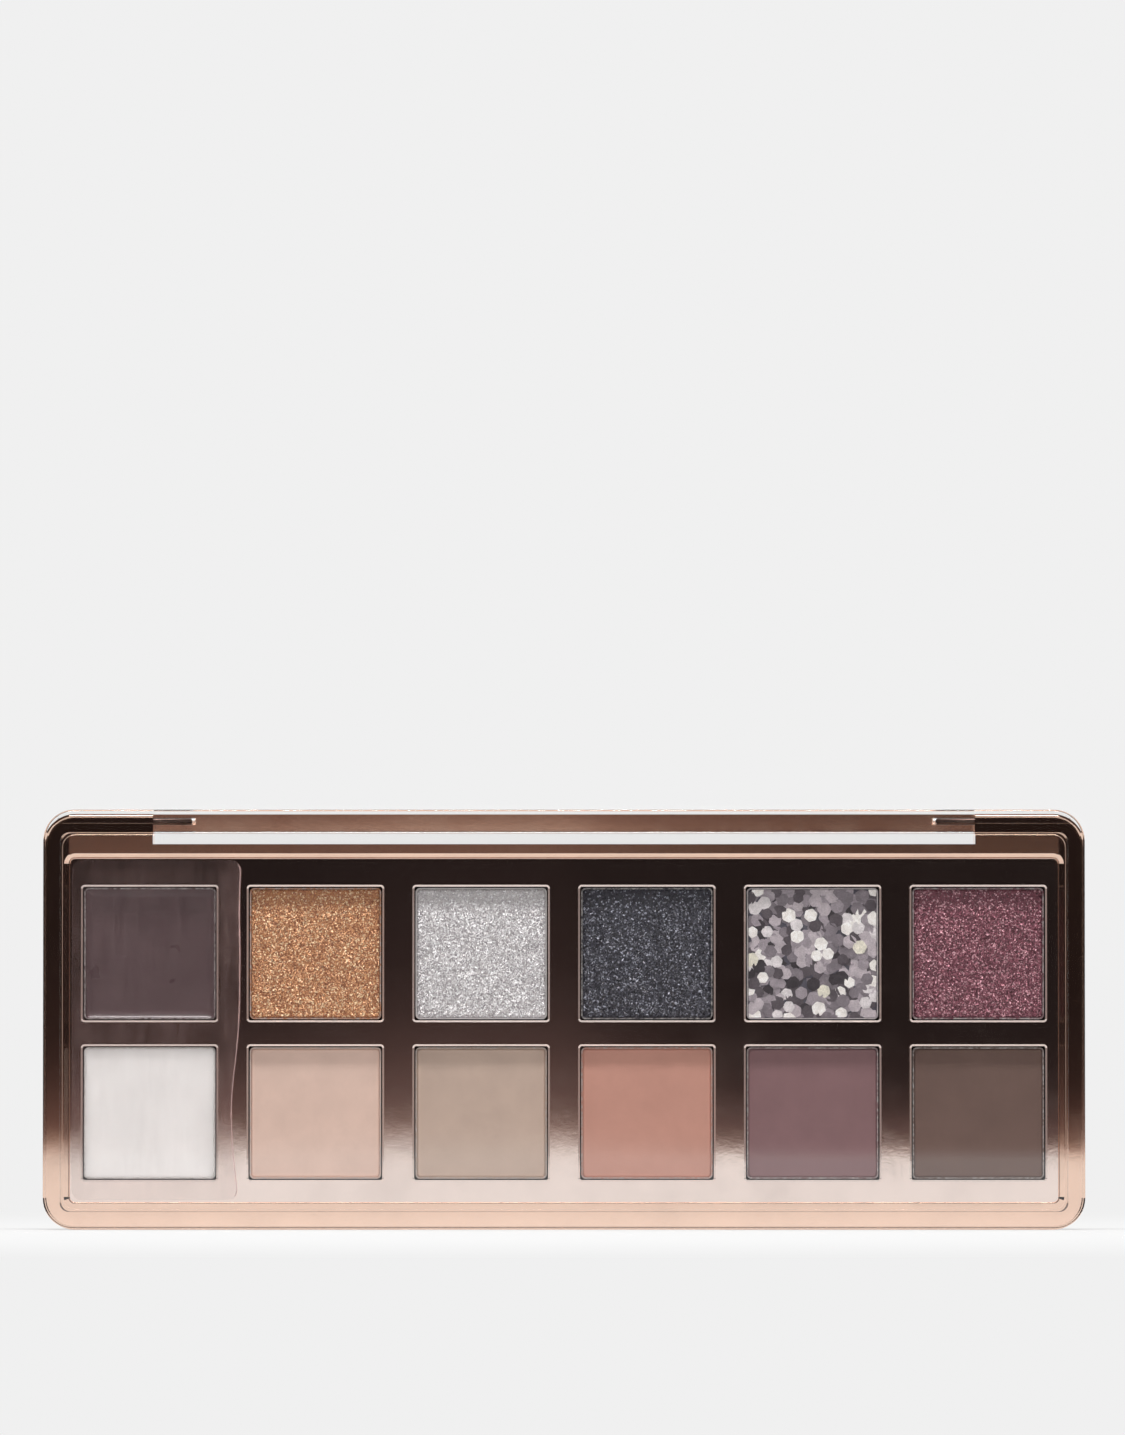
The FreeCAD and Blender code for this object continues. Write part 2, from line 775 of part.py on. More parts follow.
def make_cover_film():
    """Thin clear film that lies on the platform over the first column of pans."""
    body = new_body("cover_film")
    right = f"({column_x(0)} + {well_opening} / 2 + dims.film_overlap + dims.well_bevel_width)"
    outline = (
        f"(-{platform_half} + dims.film_inset + dims.plate_edge)",
        right,
        f"({platform_front} + dims.film_inset + dims.plate_edge)",
        f"({platform_rear} - dims.film_inset - dims.plate_edge)",
        "dims.film_corner",
    )
    pad_plate(body, "film_sheet", outline, platform_face, f"({platform_face} + dims.film_thickness)")
    return body


def make_parts():
    parts = [make_base_frame(), make_bottom_cover(), make_pan_platform()]
    for row, row_name in enumerate(("bottom", "top")):
        for column in range(COLUMNS):
            parts.append(make_pan(f"pan_{row_name}_{column + 1}", column, row))
            parts.append(make_cake(f"shade_{row_name}_{column + 1}", column, row))
    parts.append(make_pan_glue())
    parts.append(make_lid())
    parts.append(make_hinge_pin("hinge_pin_left", -1))
    parts.append(make_hinge_pin("hinge_pin_right", 1))
    parts.append(make_cover_film())
    return parts


def check_document(parts):
    """Stops if any object failed, or a sub-part's shape isn't sound."""
    doc.recompute()
    for item in doc.Objects:
        if "Invalid" in item.State or "Error" in item.State:
            raise RuntimeError(f"{item.Name} failed: {item.State}")
    for part in parts:
        if part.Shape.isNull() or not part.Shape.isValid():
            raise RuntimeError(f"{part.Label} has no valid shape")


def write_parts(parts):
    os.makedirs("parts", exist_ok=True)
    for part in parts:
        part.Shape.exportStep(os.path.join("parts", f"{part.Label}.step"))
        box = part.Shape.BoundBox
        print(
            f"{part.Label}: {len(part.Shape.Solids)} solids, {part.Shape.Volume:.1f} mm3,"
            f" x {box.XMin:.2f} {box.XMax:.2f}, y {box.YMin:.2f} {box.YMax:.2f},"
            f" z {box.ZMin:.2f} {box.ZMax:.2f}"
        )


palette_parts = make_parts()
check_document(palette_parts)
write_parts(palette_parts)
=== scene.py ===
# Looks of an eyeshadow palette: twelve pressed shades in a rose-gold case under a clear hinged lid.
import math
import random

import bpy
from mathutils import Euler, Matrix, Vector, noise


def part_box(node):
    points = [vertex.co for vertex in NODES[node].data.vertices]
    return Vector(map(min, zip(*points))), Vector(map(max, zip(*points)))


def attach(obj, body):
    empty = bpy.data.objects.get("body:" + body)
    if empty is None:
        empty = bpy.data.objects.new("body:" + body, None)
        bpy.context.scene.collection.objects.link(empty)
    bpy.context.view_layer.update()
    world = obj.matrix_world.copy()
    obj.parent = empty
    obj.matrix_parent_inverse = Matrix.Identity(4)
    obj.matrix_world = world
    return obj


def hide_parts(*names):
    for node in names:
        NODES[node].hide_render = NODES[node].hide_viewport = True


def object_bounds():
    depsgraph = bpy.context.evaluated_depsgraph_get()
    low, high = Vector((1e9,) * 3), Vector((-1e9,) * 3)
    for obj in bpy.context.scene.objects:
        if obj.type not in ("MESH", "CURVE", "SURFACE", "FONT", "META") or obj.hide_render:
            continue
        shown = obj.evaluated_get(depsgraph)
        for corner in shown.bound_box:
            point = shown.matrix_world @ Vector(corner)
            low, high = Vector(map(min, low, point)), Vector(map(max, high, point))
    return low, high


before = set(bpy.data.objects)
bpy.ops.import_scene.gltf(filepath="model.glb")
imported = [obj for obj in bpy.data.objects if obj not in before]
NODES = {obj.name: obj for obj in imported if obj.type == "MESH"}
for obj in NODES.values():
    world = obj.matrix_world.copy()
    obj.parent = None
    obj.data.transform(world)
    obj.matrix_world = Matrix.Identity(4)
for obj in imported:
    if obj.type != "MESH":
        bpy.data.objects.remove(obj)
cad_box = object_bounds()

MM = 0.001

# Camera: just above the floor, turned up a little, and so far away that the case's sides look parallel
IMAGE_HEIGHT_AT_CASE = 228.2 * MM
IMAGE_CENTRE_X = -0.24 * MM
IMAGE_CENTRE_Z = 81.5 * MM
CAMERA_DISTANCE = 1.8
CAMERA_HEIGHT = 18.9 * MM
SENSOR = 36.0

# Floor and surroundings: pale, with a soft shadow round the case
PALE = (0.871, 0.871, 0.871, 1.0)
WHITE = (1.0, 1.0, 1.0, 1.0)
AMBIENT = 0.49
FLOOR_COLOUR = (0.66, 0.66, 0.66, 1.0)
FLOOR_FRONT = -4.0
FLOOR_BACK = 9.0
FLOOR_HALF_WIDTH = 7.0
FLOOR_DROP = 0.02 * MM
SHADOW_START = 0.1
SHADOW_REACH = 0.35
SHADOW_SHARE = 0.35

# Curved wall behind the camera: dark in front of the case, with greyer ends
WALL_RADIUS = 2.5
WALL_HEIGHT = 0.55
WALL_REACH = math.radians(76)
WALL_DARK_REACH = math.radians(53)
WALL_STEPS = 40
SIDE_TONE = (0.34, 0.30, 0.29, 1.0)

# Tones of the dark wall, as shares of a height above its pale foot
WALL_FADE = 140 * MM
WALL_TONES = (
    (0.0, (0.88, 0.87, 0.86, 1.0)),
    (0.012, (0.80, 0.775, 0.76, 1.0)),
    (0.03, (0.56, 0.505, 0.48, 1.0)),
    (0.05, (0.33, 0.262, 0.238, 1.0)),
    (0.07, (0.20, 0.142, 0.126, 1.0)),
    (0.09, (0.135, 0.089, 0.080, 1.0)),
    (0.12, (0.107, 0.069, 0.063, 1.0)),
    (0.164, (0.088, 0.057, 0.052, 1.0)),
    (0.2, (0.066, 0.043, 0.040, 1.0)),
    (0.264, (0.043, 0.029, 0.027, 1.0)),
    (0.357, (0.027, 0.0185, 0.0175, 1.0)),
    (0.586, (0.017, 0.0125, 0.012, 1.0)),
    (1.0, (0.016, 0.012, 0.0115, 1.0)),
)

# The wall's pale foot rises to a low mound: two stretches along X, and how fast the tones change there
MOUND_LEFT = dict(low=-200 * MM, high=-60 * MM, out_low=1.1, out_high=0.65)
MOUND_RIGHT = dict(low=0.0, high=100 * MM, out_low=0.65, out_high=1.65)

# Dark ceiling, which shows only in reflections
CEILING_HEIGHT = 1.9
CEILING_FRONT = -2.26
CEILING_BACK = 5.0
CEILING_HALF_WIDTH = 4.0
CEILING_TONE = (0.07, 0.05, 0.045, 1.0)

# Lamps: a narrow strip above the case, and a broad fill from the front
LAMP_TARGET = (0.0, 0.0, 35 * MM)
KEY_STRIP = dict(place=(0.0, -0.30, 1.197), width=0.7, depth=0.14, power=18.3)
FRONT_FILL = dict(place=(0.0, -1.5, 1.15), width=1.5, depth=0.9, power=4.7)

# Metals, as linear colours, and the depth of a mirror's grain as a share of its orange peel
FRAME_TINT = (0.97, 0.70, 0.56, 1.0)
PLATFORM_TINT = (0.96, 0.82, 0.76, 1.0)
ALUMINIUM_TINT = (0.62, 0.58, 0.56, 1.0)
# Pin tint: a brown finish, darkened well below bare steel as painted shade
DARKENED_PIN_TINT = (0.10, 0.066, 0.056, 1.0)
MIRROR_GRAIN_SHARE = 0.3

# Inside of the wells: painted shade below the platform's face darkens the well walls, like the shade in
# the gap round each pan; where it starts, its tone and roughness
WELL_SHADE_DEPTH = 0.3 * MM
WELL_SHADE_TONE = (0.045, 0.032, 0.028, 1.0)
WELL_ROUGHNESS = 0.6

# Clear lid: its tint, and what it lets through of the light on the shades
LID_TINT = (0.99, 0.985, 0.98, 1.0)
LID_PASSES = (0.93, 0.93, 0.93, 1.0)

# Hinge pins, which fill their bores in the clear lid; their dark tint is partly a brown finish and partly
# painted shade
PIN_RADIUS = 0.56 * MM
PIN_SIDES = 32
PIN_BLUNT = 0.15 * MM

# Pressed shades: outline, rounded edges, paler border (partly the pressed edge, partly painted light off
# the floor and the pan rims) and the spacing of their points
CAKE_CORNER = 0.55 * MM
CAKE_EDGE = 0.35 * MM
CREAM_EDGE = 0.04 * MM
PRESSED_AND_LIT_BORDER = 0.8 * MM
BORDER_SHARE = 0.6
BORDER_LIGHTENING = 1.2
RIM_SHARES = (0.0, 0.06, 0.2, 0.42, 0.7, 1.0)
MATTE_STEP = 0.36 * MM
CREAM_STEP = 0.3 * MM
SHIMMER_STEP = 0.22 * MM
# Size of the cells that get painted glints in the shimmer powders
GLINT_CELL_GRAIN = 4600.0
DUST_LIGHTENING = 1.08

# Seeds of the uneven faces, how far apart two seeds lie in the noise, and the level of its finer tooth
FIRST_MATTE_SEED = 1
FIRST_CREAM_SEED = 1
FIRST_SHIMMER_SEED = 11
BED_SEED = 21
PRESSED_STRIDE = (3.7, 1.3, 2.1)
POURED_STRIDE = (2.9, 1.7, 0.7)
TOOTH_LEVEL = 0.5

# Pressed glitter: a dark bed and overlapping six-sided plates
GLITTER_NODE = "shade_top_5"
GLITTER_SEED = 5
BED_COLOUR = "55525c"
BED_SETBACK = 0.16 * MM
PLATE_TRIES = 9
PLATE_LEAN = math.radians(2.4)
PLATE_SIDES = 6
PLATE_THICKNESS = 0.035 * MM
PLATE_BLUNT = 0.12
PLATE_STACK = 0.075 * MM
WALL_CLEARANCE = 0.06 * MM

# Mottling of a glitter plate: values of the mottle, and the share of the colour at each
PLATE_MOTTLE = ((0.36, 0.82), (0.5, 1.0), (0.66, 1.3))

# Film over the creams: the sheet, its outline, and the free edge with its drawn-in waist
FILM_NODE = "cover_film"
FILM_SHEET = 0.05 * MM
FILM_STEP = 0.55 * MM
FILM_CORNER = 1.7 * MM
FILM_LIP = 0.22 * MM
FILM_EDGE_INSET = 0.3 * MM
FILM_EDGE_POWER = 6
FILM_EDGE_WANDER = 0.55 * MM
FILM_EDGE_DRIFT = dict(length=14 * MM, place=(4.0, 2.0))
FILM_WAIST = 1.3 * MM
FILM_WAIST_HEIGHT = 17 * MM
FILM_WAIST_REACH = 13 * MM

# Film's waves, from the noise on two levels, and the curl of its free edge
FILM_WAVES = (
    dict(rise=0.035 * MM, across=3.2 * MM, along=9 * MM, level=1.0),
    dict(rise=0.01 * MM, across=1.1 * MM, along=2.4 * MM, level=7.0),
)
FILM_CURL_WIDTH = 2.6 * MM
FILM_CURL_RISE = 0.34 * MM
FILM_CURL_MEAN = 0.7
FILM_CURL_SWING = 0.6
FILM_CURL_DRIFT = dict(length=7 * MM, place=(0.0, 3.0))

# Film's haze: least and most on its faces and on its lip, and more of it where it clings to the platform
FILM_TINT = (0.85, 0.60, 0.58, 1.0)
FILM_PASSES = (0.99, 0.99, 0.99, 1.0)
FILM_HAZE = (0.010, 0.03)
LIP_HAZE = (0.12, 0.24)
FILM_CLING = dict(low=-55.2 * MM, high=-54.0 * MM, out_low=1.0, out_high=1.5)
FILM_EDGE_HAZE = 0.2


def linear(code):
    """A web colour as a linear colour with full alpha."""
    channels = []
    for start in (0, 2, 4):
        value = int(code[start:start + 2], 16) / 255
        if value <= 0.04045:
            channels.append(value / 12.92)
        else:
            channels.append(((value + 0.055) / 1.055) ** 2.4)
    return (*channels, 1.0)


def shade(colour, share):
    """The colour made lighter or darker."""
    return (*[min(1.0, channel * share) for channel in colour[:3]], 1.0)


# Node helpers

def add_node(tree, kind, inputs=None, **settings):
    """A new node with its settings and the values of its inputs."""
    node = tree.nodes.new(kind)
    for key, value in settings.items():
        setattr(node, key, value)
    for key, value in (inputs or {}).items():
        node.inputs[key].default_value = value
    return node


def new_material(name):
    """An empty material and its node tree."""
    material = bpy.data.materials.new(name)
    material.use_nodes = True
    material.node_tree.nodes.clear()
    return material, material.node_tree


def set_surface(tree, shader, kind="ShaderNodeOutputMaterial"):
    """Links a shader to the tree's output."""
    output = add_node(tree, kind)
    tree.links.new(shader, output.inputs["Surface"])


def principled(tree, values, fields, **settings):
    """A surface shader with plain values on some of its sockets and fields on others."""
    shader = add_node(tree, "ShaderNodeBsdfPrincipled", values, **settings)
    for socket, field in fields.items():
        tree.links.new(field, shader.inputs[socket])
    return shader.outputs["BSDF"]


def see_through(tree, colour):
    """A shader that lets light pass straight through."""
    return add_node(tree, "ShaderNodeBsdfTransparent", {"Color": colour}).outputs["BSDF"]


def emission(tree, colour):
    """A shader that shines with a plain colour."""
    return add_node(tree, "ShaderNodeEmission", {"Color": colour, "Strength": 1.0}).outputs["Emission"]


def mixed_shader(tree, share, first, second):
    """Two shaders mixed: all of the second where the share is 1."""
    mix = add_node(tree, "ShaderNodeMixShader")
    tree.links.new(share, mix.inputs["Fac"])
    tree.links.new(first, mix.inputs[1])
    tree.links.new(second, mix.inputs[2])
    return mix.outputs["Shader"]


def object_coords(tree):
    """Places in the object's own frame, in metres."""
    return add_node(tree, "ShaderNodeTexCoord").outputs["Object"]


def axes(tree, vector):
    """The X, Y and Z outputs of a vector."""
    split = add_node(tree, "ShaderNodeSeparateXYZ")
    tree.links.new(vector, split.inputs["Vector"])
    return split.outputs


def channels_of(tree, colour):
    """The red, green and blue outputs of a colour."""
    split = add_node(tree, "ShaderNodeSeparateColor")
    tree.links.new(colour, split.inputs["Color"])
    return split.outputs


def maths(tree, operation, first, second):
    """An operation on two fields or plain numbers."""
    node = add_node(tree, "ShaderNodeMath", operation=operation)
    for socket, value in zip(node.inputs, (first, second)):
        if isinstance(value, (int, float)):
            socket.default_value = value
        else:
            tree.links.new(value, socket)
    return node.outputs["Value"]


def vector_maths(tree, operation, first, second=None):
    """An operation on a vector field, and on another one or a plain vector."""
    node = add_node(tree, "ShaderNodeVectorMath", operation=operation)
    tree.links.new(first, node.inputs[0])
    if isinstance(second, (tuple, Vector)):
        node.inputs[1].default_value = second
    elif second is not None:
        tree.links.new(second, node.inputs[1])
    return node.outputs["Value" if operation == "LENGTH" else "Vector"]


def weighted(tree, first, second, share):
    """Two fields added, with a share of the first and the rest of the second."""
    return maths(
        tree,
        "ADD",
        maths(tree, "MULTIPLY", first, share),
        maths(tree, "MULTIPLY", second, 1.0 - share),
    )


def spread(tree, value, low, high, out_low, out_high):
    """Maps a field from one range to another, and keeps it inside."""
    ranged = add_node(
        tree,
        "ShaderNodeMapRange",
        {"From Min": low, "From Max": high, "To Min": out_low, "To Max": out_high},
    )
    tree.links.new(value, ranged.inputs["Value"])
    return ranged.outputs["Result"]


def stretched(tree, coords, scale):
    """Coordinates scaled along each axis."""
    mapping = add_node(tree, "ShaderNodeMapping", {"Scale": scale})
    tree.links.new(coords, mapping.inputs["Vector"])
    return mapping.outputs["Vector"]


def noise_field(tree, coords, scale=1.0, detail=2.0, rough=0.5):
    """Soft noise from 0 to 1."""
    field = add_node(
        tree, "ShaderNodeTexNoise", {"Scale": scale, "Detail": detail, "Roughness": rough}
    )
    tree.links.new(coords, field.inputs["Vector"])
    return field.outputs["Fac"]


def cell_colours(tree, coords, scale):
    """A random colour for each cell of a fine pattern."""
    field = add_node(tree, "ShaderNodeTexVoronoi", {"Scale": scale})
    tree.links.new(coords, field.inputs["Vector"])
    return field.outputs["Color"]


def ramp(tree, value, stops):
    """A colour for each value of a field, from pairs of a value and a colour."""
    node = add_node(tree, "ShaderNodeValToRGB")
    band = node.color_ramp
    while len(band.elements) < len(stops):
        band.elements.new(0.5)
    for element, (place, colour) in zip(band.elements, stops):
        element.position = place
        element.color = colour
    tree.links.new(value, node.inputs["Fac"])
    return node.outputs["Color"]


def two_depths(tree, value, colour, low, high, low_share, high_share):
    """A colour in two depths: one share of it where the field is low, and another where it is high."""
    return ramp(tree, value, ((low, shade(colour, low_share)), (high, shade(colour, high_share))))


def blend(tree, share, under, over):
    """A colour field with a plain colour laid over it by share."""
    node = add_node(tree, "ShaderNodeMix", data_type="RGBA")
    first, second = [socket for socket in node.inputs if socket.type == "RGBA"]
    tree.links.new(share, node.inputs[0])
    tree.links.new(under, first)
    second.default_value = over
    return next(socket for socket in node.outputs if socket.type == "RGBA")


def bump(tree, height, depth, normal=None):
    """A field's fine relief, on its own or added to another."""
    node = add_node(tree, "ShaderNodeBump", {"Strength": 1.0, "Distance": depth})
    tree.links.new(height, node.inputs["Height"])
    if normal is not None:
        tree.links.new(normal, node.inputs["Normal"])
    return node.outputs["Normal"]


def seen_rays(tree):
    """1 for rays that show the background: straight to the camera, in metal or through glass."""
    path = add_node(tree, "ShaderNodeLightPath")
    mirrored = maths(tree, "MAXIMUM", path.outputs["Is Camera Ray"], path.outputs["Is Glossy Ray"])
    return maths(tree, "MAXIMUM", mirrored, path.outputs["Is Transmission Ray"])


# Materials of the case

def mirror_metal(name, tint, gloss, haze, peel_depth, shade_from=None):
    """Metallised plastic: a mirror with faint orange peel, handling haze and a fine grain.

    Deeper along Y than the given start, the bright metal fades to a dark painted shade for the inside of
    the wells.
    """
    material, tree = new_material(name)
    coords = object_coords(tree)
    smudge = noise_field(tree, coords, scale=95.0, detail=5.0, rough=0.62)
    rough = spread(tree, smudge, low=0.42, high=0.72, out_low=gloss, out_high=haze)
    tone = two_depths(tree, smudge, tint, low=0.35, high=0.75, low_share=1.0, high_share=0.93)
    if shade_from is not None:
        # Painted shade: the well walls turn dark below the face, in place of the shade in the gaps round
        # the pans
        depth = axes(tree, coords)["Y"]
        well_shade = spread(tree, depth, shade_from, shade_from + WELL_SHADE_DEPTH / 2, out_low=0.0, out_high=1.0)
        tone = blend(tree, well_shade, tone, WELL_SHADE_TONE)
        rough = maths(tree, "MAXIMUM", rough, maths(tree, "MULTIPLY", well_shade, WELL_ROUGHNESS))
    peel = bump(tree, noise_field(tree, coords, scale=420.0), peel_depth)
    grain = noise_field(tree, stretched(tree, coords, scale=(1400.0, 1400.0, 2600.0)))
    relief = bump(tree, grain, peel_depth * MIRROR_GRAIN_SHARE, peel)
    fields = {"Base Color": tone, "Roughness": rough, "Normal": relief}
    set_surface(tree, principled(tree, {"Metallic": 1.0}, fields))
    return material


def drawn_metal(name, tint, gloss, haze, grain):
    """Drawn metal with a fine grain along one direction."""
    material, tree = new_material(name)
    lines = noise_field(tree, stretched(tree, object_coords(tree), scale=grain), detail=3.0)
    fields = {
        "Base Color": two_depths(tree, lines, tint, low=0.3, high=0.7, low_share=0.9, high_share=1.0),
        "Roughness": spread(tree, lines, low=0.3, high=0.7, out_low=gloss, out_high=haze),
        "Normal": bump(tree, lines, depth=0.002 * MM),
    }
    set_surface(tree, principled(tree, {"Metallic": 1.0}, fields))
    return material


def dusted_metal(name, tint, dust):
    """Thin sheet metal with powder left on it in patches."""
    material, tree = new_material(name)
    patches = noise_field(tree, object_coords(tree), scale=1800.0, detail=3.0, rough=0.6)
    fields = {
        "Base Color": ramp(tree, patches, ((0.35, dust), (0.75, tint))),
        "Metallic": spread(tree, patches, low=0.4, high=0.75, out_low=0.1, out_high=0.7),
        "Normal": bump(tree, patches, depth=0.004 * MM),
    }
    set_surface(tree, principled(tree, {"Roughness": 0.4}, fields))
    return material


def clear_plastic(name):
    """Clear moulded lid. Lamps and bounced light pass straight through it to the shades below."""
    material, tree = new_material(name)
    coords = object_coords(tree)
    hairs = noise_field(tree, stretched(tree, coords, scale=(2600.0, 500.0, 90.0)), detail=3.0, rough=0.6)
    handled = noise_field(tree, coords, scale=60.0, detail=4.0)
    worn = maths(tree, "MULTIPLY", hairs, handled)
    values = {"Base Color": LID_TINT, "Transmission Weight": 1.0, "IOR": 1.5}
    fields = {
        "Roughness": spread(tree, worn, low=0.3, high=0.45, out_low=0.0, out_high=0.04),
        "Normal": bump(tree, hairs, depth=0.00006 * MM),
    }
    glass = principled(tree, values, fields)
    clear = see_through(tree, LID_PASSES)
    path = add_node(tree, "ShaderNodeLightPath")
    lamp_ray = maths(tree, "MAXIMUM", path.outputs["Is Shadow Ray"], path.outputs["Is Diffuse Ray"])
    set_surface(tree, mixed_shader(tree, lamp_ray, glass, clear))
    return material


def thin_film(name, haze_range):
    """Soft clear film: almost invisible, with a warm haze in patches and streaks."""
    material, tree = new_material(name)
    coords = object_coords(tree)
    patches = noise_field(tree, coords, scale=110.0, detail=4.0, rough=0.6)
    streaks = noise_field(tree, stretched(tree, coords, scale=(900.0, 900.0, 120.0)), detail=3.0)
    mottle = maths(tree, "MULTIPLY", patches, streaks)
    least, most = haze_range
    haze = spread(tree, mottle, low=0.15, high=0.4, out_low=least, out_high=most)
    cling = spread(tree, axes(tree, coords)["X"], **FILM_CLING)
    facing = add_node(tree, "ShaderNodeLayerWeight", {"Blend": 0.35})
    edge = maths(tree, "MULTIPLY", facing.outputs["Facing"], FILM_EDGE_HAZE)
    cover = maths(tree, "MAXIMUM", maths(tree, "MULTIPLY", haze, cling), edge)
    clear = see_through(tree, FILM_PASSES)
    values = {"Base Color": FILM_TINT, "Roughness": 0.3, "Specular IOR Level": 0.3}
    set_surface(tree, mixed_shader(tree, cover, clear, principled(tree, values, {})))
    return material


def hot_melt(name):
    """Cloudy yellowish glue."""
    material, tree = new_material(name)
    cloud = noise_field(tree, object_coords(tree), scale=700.0, detail=3.0)
    fields = {
        "Base Color": ramp(tree, cloud, ((0.3, linear("cfc39a")), (0.7, linear("e4dcc0")))),
        "Normal": bump(tree, cloud, depth=0.02 * MM),
    }
    set_surface(tree, principled(tree, {"Roughness": 0.35, "Subsurface Weight": 0.2}, fields))
    return material


# Materials of the shades

def border_share(tree, coords, node, width):
    """1 along the outline of a square cake, falling to 0 at a width inside it."""
    low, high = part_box(node)
    offset = vector_maths(tree, "SUBTRACT", coords, (low + high) / 2)
    sides = axes(tree, vector_maths(tree, "ABSOLUTE", offset))
    reach = maths(tree, "MAXIMUM", sides["X"], sides["Z"])
    half = (high.x - low.x) / 2
    return spread(tree, reach, half - width, half, out_low=0.0, out_high=1.0)


def matte_powder(name, node, colour):
    """Dry pressed powder: soft mottling, a fine tooth, no gloss and a paler border, partly the pressed
    edge and partly painted light.
    """
    material, tree = new_material(name)
    coords = object_coords(tree)
    clouds = noise_field(tree, coords, scale=230.0, detail=4.0, rough=0.6)
    dust = noise_field(tree, coords, scale=5200.0)
    mottle = weighted(tree, clouds, dust, share=0.6)
    tone = two_depths(tree, mottle, colour, low=0.34, high=0.66, low_share=0.93, high_share=1.06)
    # Paler border: partly the pressed edge, partly painted light off the floor and the pan rims
    border = maths(tree, "MULTIPLY", border_share(tree, coords, node, PRESSED_AND_LIT_BORDER), BORDER_SHARE)
    values = {"Roughness": 0.82, "Specular IOR Level": 0.25, "Sheen Weight": 0.06}
    fields = {
        "Base Color": blend(tree, border, tone, shade(colour, BORDER_LIGHTENING)),
        "Normal": bump(tree, dust, depth=0.012 * MM),
    }
    set_surface(tree, principled(tree, values, fields))
    return material


def cream_shade(name, colour, gloss, haze, glow):
    """Poured cream: even colour and a satin, slightly waxy surface."""
    material, tree = new_material(name)
    coords = object_coords(tree)
    clouds = noise_field(tree, coords, scale=140.0, detail=4.0, rough=0.55)
    pores = noise_field(tree, coords, scale=900.0, detail=3.0)
    values = {
        "Specular IOR Level": 0.45,
        "Coat Weight": 0.12,
        "Coat Roughness": 0.3,
        "Subsurface Weight": glow,
        "Subsurface Radius": (1.0, 1.0, 1.0),
        "Subsurface Scale": 4.0 * MM,
    }
    fields = {
        "Base Color": two_depths(tree, clouds, colour, low=0.3, high=0.7, low_share=0.95, high_share=1.04),
        "Roughness": spread(tree, clouds, low=0.3, high=0.7, out_low=gloss, out_high=haze),
        "Normal": bump(tree, pores, depth=0.006 * MM),
    }
    set_surface(tree, principled(tree, values, fields, subsurface_method="BURLEY"))
    return material


def shimmer_powder(name, dark, mid, light, glint, painted_glint_share, grain, tilt, metal, gloss):
    """Pressed pearl powder: every grain is a small plate that lies at its own angle.

    The plates that lean up, towards the lamp above, are painted paler as painted light, and are more
    metallic; a few get a painted glint colour.
    """
    material, tree = new_material(name)
    coords = object_coords(tree)
    plates = cell_colours(tree, coords, grain)
    # Painted light: the grains that lean up, towards the key lamp, take the paler tones
    lit_paleness = channels_of(tree, plates)["Blue"]
    tone = ramp(tree, lit_paleness, ((0.0, dark), (0.5, mid), (1.0, light)))
    # Painted glints: a share of the coarser cells is coloured towards the glint colour
    pick = channels_of(tree, cell_colours(tree, coords, GLINT_CELL_GRAIN))["Red"]
    painted_glint = spread(tree, pick, low=1.0 - painted_glint_share, high=1.0, out_low=0.0, out_high=1.0)
    centred = vector_maths(tree, "SUBTRACT", plates, (0.5, 0.5, 0.5))
    leaned = vector_maths(tree, "MULTIPLY", centred, (tilt, 0.0, tilt))
    surface = add_node(tree, "ShaderNodeNewGeometry")
    turned = vector_maths(tree, "ADD", surface.outputs["Normal"], leaned)
    fields = {
        "Base Color": blend(tree, painted_glint, tone, glint),
        "Metallic": spread(tree, lit_paleness, low=0.5, high=1.0, out_low=0.0, out_high=metal),
        "Normal": vector_maths(tree, "NORMALIZE", turned),
    }
    set_surface(tree, principled(tree, {"Roughness": gloss}, fields))
    return material


def glitter_plate(name, colour, metal, gloss):
    """One glitter colour: pearly plates with fine specks."""
    material, tree = new_material(name)
    coords = object_coords(tree)
    specks = noise_field(tree, coords, scale=4200.0, rough=0.7)
    clouds = noise_field(tree, coords, scale=700.0, detail=3.0)
    mottle = weighted(tree, specks, clouds, share=0.5)
    stops = [(value, shade(colour, share)) for value, share in PLATE_MOTTLE]
    fields = {
        "Base Color": ramp(tree, mottle, stops),
        "Normal": bump(tree, specks, depth=0.012 * MM),
    }
    set_surface(tree, principled(tree, {"Metallic": metal, "Roughness": gloss}, fields))
    return material


# Meshes

def mesh_object(name, points, faces, materials, face_slots=None):
    """A smooth object in the scene, with a material for each face."""
    mesh = bpy.data.meshes.new(name)
    mesh.from_pydata(points, [], faces)
    for material in materials:
        mesh.materials.append(material)
    if face_slots is not None:
        mesh.polygons.foreach_set("material_index", face_slots)
    mesh.shade_smooth()
    mesh.update()
    piece = bpy.data.objects.new(name, mesh)
    bpy.context.scene.collection.objects.link(piece)
    return piece


def set_piece(piece, node):
    """Puts a piece on the base in place of a node."""
    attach(piece, "base")
    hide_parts(node)


def dress(node, finish):
    """Gives every slot of a node the same finish."""
    for slot in NODES[node].material_slots:
        slot.material = finish


def grid_lines(half, edge, step):
    """Places across a cake, closer together along its rounded edge."""
    rim = [-half + edge * share for share in RIM_SHARES]
    inner = half - edge
    count = math.ceil(2 * inner / step)
    middle = [-inner + 2 * inner * index / count for index in range(1, count)]
    return rim + middle + [-place for place in reversed(rim)]


